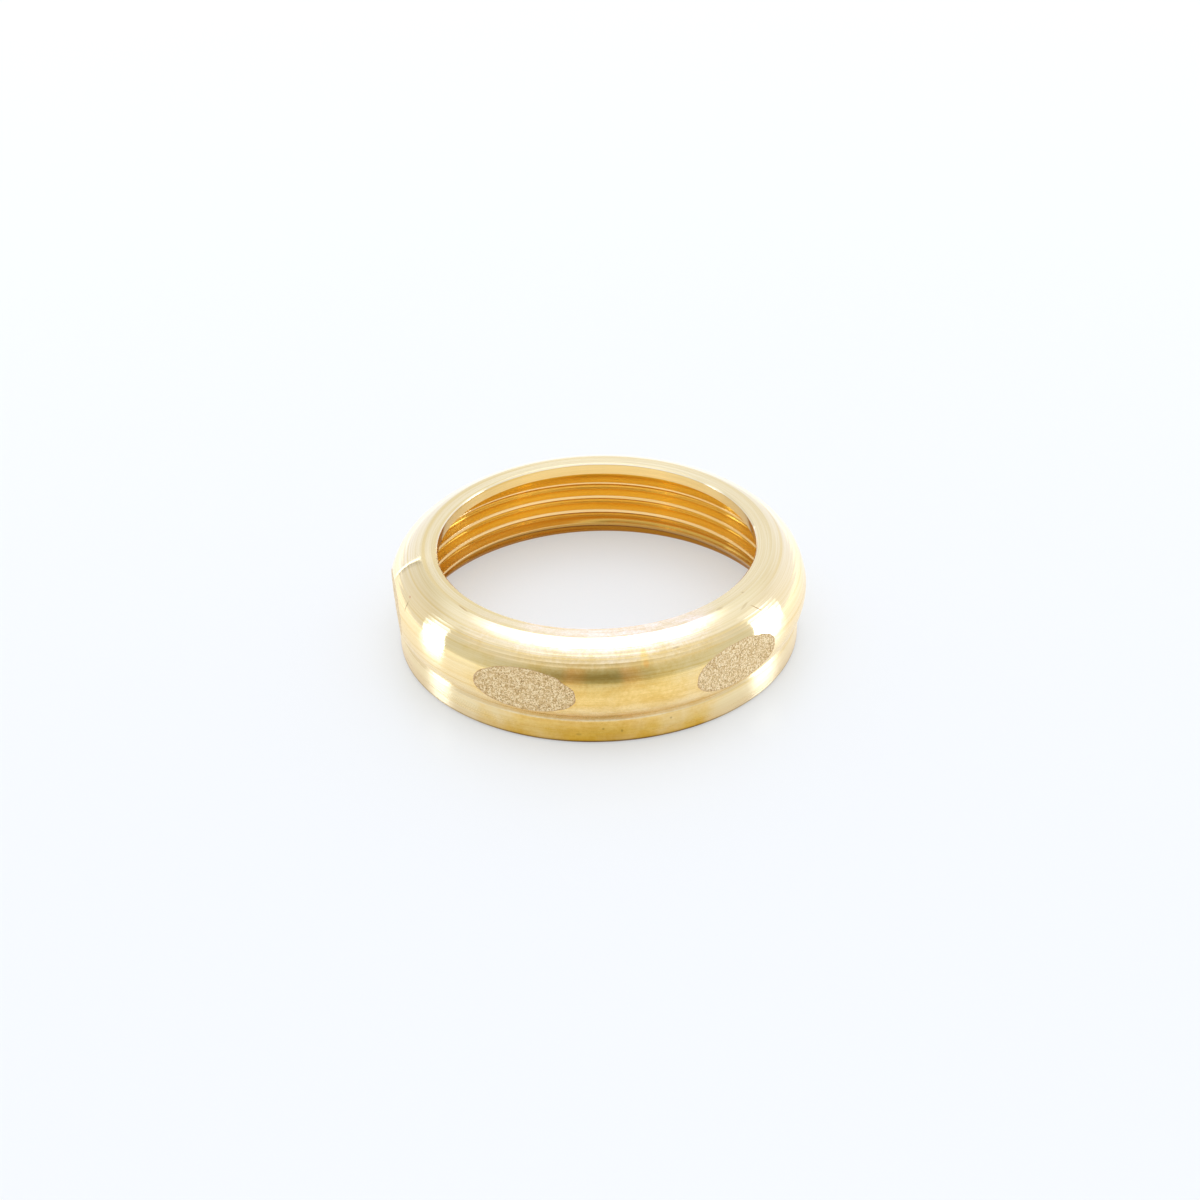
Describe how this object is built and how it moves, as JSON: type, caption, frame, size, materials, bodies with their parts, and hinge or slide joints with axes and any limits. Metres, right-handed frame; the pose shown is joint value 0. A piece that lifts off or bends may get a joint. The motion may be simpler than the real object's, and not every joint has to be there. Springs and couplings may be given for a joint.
{
  "type": "slip joint nut",
  "caption": "Cast and turned brass ring nut for a tubular drain's slip joint: internal thread, inward lip over the washer, rounded outside with oval as-cast grips.",
  "frame": {"origin": "centre of the threaded mouth's rim, on the surface that the nut stands on", "axes": "+Z along the nut's axis, from the threaded mouth to the lip's face; one as-cast flat faces -Y"},
  "size_m": [0.0536, 0.052, 0.013],
  "materials": {
    "turned_brass": "sand-cast yellow brass, turned and left unplated; the casting's pitted skin stays in six ovals round the outside"
  },
  "bodies": {
    "root": {"slip_joint_nut": "turned_brass"}
  },
  "joints": []
}
